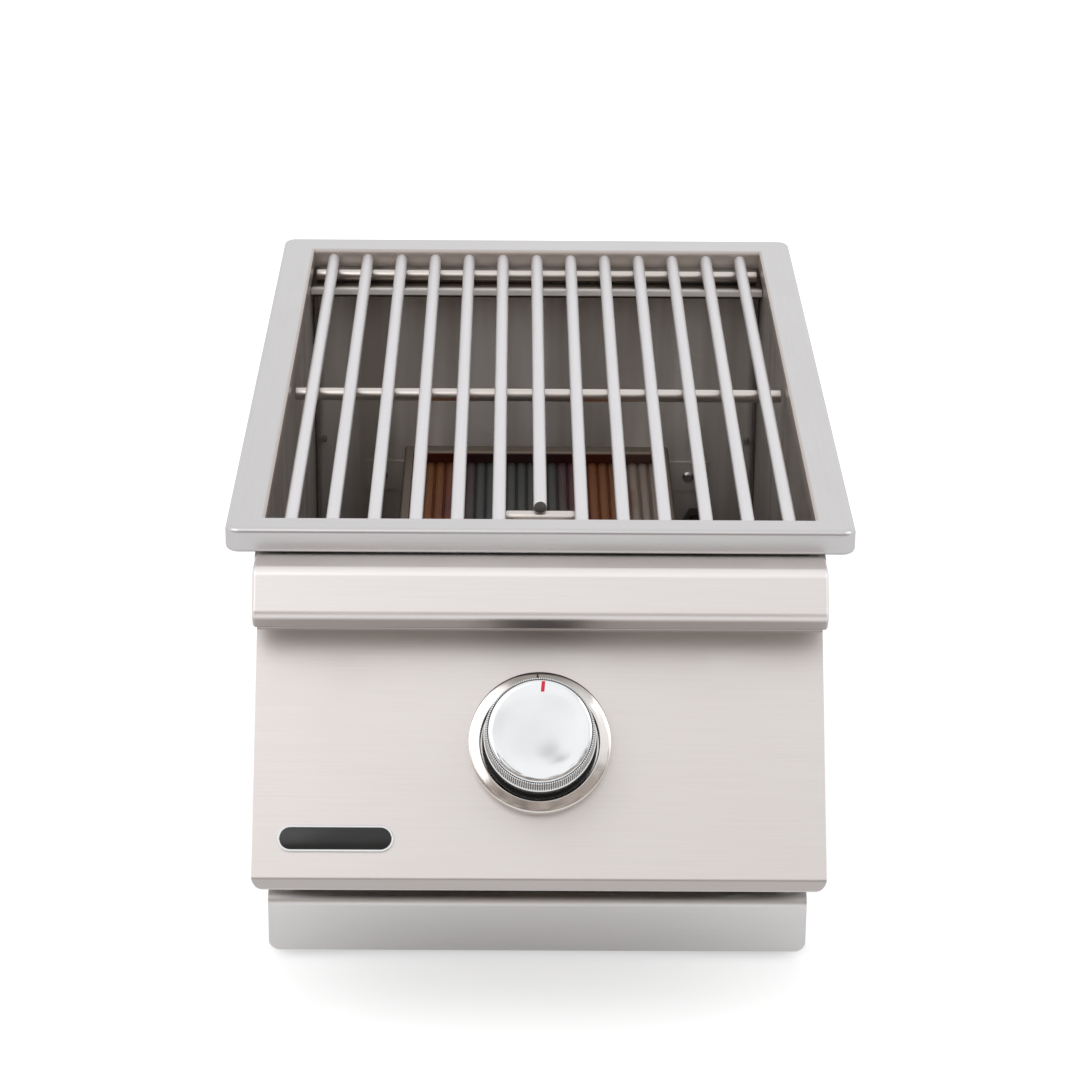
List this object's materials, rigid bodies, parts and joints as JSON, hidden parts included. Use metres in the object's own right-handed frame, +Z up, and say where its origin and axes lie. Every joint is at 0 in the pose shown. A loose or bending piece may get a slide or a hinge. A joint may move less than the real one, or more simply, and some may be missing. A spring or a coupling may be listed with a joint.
{
  "type": "built-in side burner",
  "caption": "Drop-in stainless side burner with a rod grate, a radiant burner under it, a sloped control panel with one knob and a slide-out drip tray.",
  "frame": {"origin": "middle of the underside of the box floor, centred under the rim opening", "axes": "+X to the right seen from the knob side, +Y to the back, +Z up"},
  "size_m": [0.356, 0.6524, 0.276],
  "materials": {
    "rim_steel": "brushed stainless steel",
    "box_steel": "mill-finish stainless steel",
    "panel_steel": "brushed stainless steel",
    "tray_steel": "mill-finish stainless steel",
    "rod_steel": "polished stainless steel rod",
    "bezel_satin": "satin plated",
    "knob_black": "moulded black",
    "knob_chrome": "bright plated",
    "burner_steel": "heat-tinted stainless steel",
    "plaque_ceramic": "porous ceramic",
    "insulator_white": "glazed ceramic",
    "tube_steel": "plated steel",
    "screw_steel": "stainless steel",
    "valve_brass": "turned brass",
    "bonnet_alloy": "die-cast and drawn aluminium",
    "module_black": "moulded black",
    "bush_rubber": "heat-resisting rubber"
  },
  "bodies": {
    "box": {"bezel_ring": "bezel_satin", "bezel_screws": "screw_steel", "bulkhead_nut": "valve_brass", "burner_frame": "burner_steel", "burner_pan": "burner_steel", "burner_screen": "burner_steel", "burner_support_left": "box_steel", "burner_support_right": "box_steel", "ceramic_plaques": "plaque_ceramic", "control_panel": "panel_steel", "control_side_left": "panel_steel", "control_side_right": "panel_steel", "electrode_insulator": "insulator_white", "electrode_strap": "box_steel", "electrode_tip": "tube_steel", "floor_panel": "box_steel", "front_rail": "panel_steel", "front_wall": "box_steel", "grate_ledge_front": "box_steel", "grate_ledge_rear": "box_steel", "heat_shield": "box_steel", "inlet_fitting": "valve_brass", "mixer_tube": "tube_steel", "orifice": "valve_brass", "pipe_grommet": "bush_rubber", "plaque_frame": "burner_steel", "rear_panel": "box_steel", "rear_screws": "screw_steel", "return_spring": "tube_steel", "side_panel_left": "box_steel", "side_panel_right": "box_steel", "spark_module": "module_black", "spark_wire": "bush_rubber", "supply_pipe": "bonnet_alloy", "support_screws": "screw_steel", "top_frame": "rim_steel", "tray_runner_left": "box_steel", "tray_runner_right": "box_steel", "valve_body": "valve_brass", "valve_bonnet": "bonnet_alloy", "wire_grommet": "bush_rubber"},
    "push": {"thrust_collar": "tube_steel"},
    "knob": {"valve_stem": "valve_brass", "knob_base": "knob_black", "knob_cap": "knob_chrome", "knob_clip": "tube_steel"},
    "shutter": {"air_shutter": "tube_steel", "shutter_screw": "screw_steel"},
    "grate": {"grate_bars": "rod_steel", "grate_rods": "rod_steel"},
    "tray": {"tray_pan": "tray_steel", "tray_front": "panel_steel"}
  },
  "joints": [
    {"name": "knob_push", "type": "slide", "parent": "box", "child": "push", "axis": [0, 0.809, -0.5878], "range_m": [0, 0.003], "stiffness_N_per_m": 800, "springref_m": -0.004, "deforming": ["return_spring"]},
    {"name": "knob_turn", "type": "hinge", "parent": "push", "child": "knob", "pos_m": [0, -0.3184, 0.163], "axis": [0, -0.809, 0.5878], "range_deg": [0, 180]},
    {"name": "shutter_turn", "type": "hinge", "parent": "box", "child": "shutter", "pos_m": [0, -0.268, 0.14125], "axis": [0, 1, 0], "range_deg": [0, 75]},
    {"name": "grate_lift", "type": "slide", "parent": "box", "child": "grate", "axis": [0, 0, 1], "range_m": [0, 0.1]},
    {"name": "tray_slide", "type": "slide", "parent": "box", "child": "tray", "axis": [0, -1, 0], "range_m": [0, 0.45]}
  ]
}
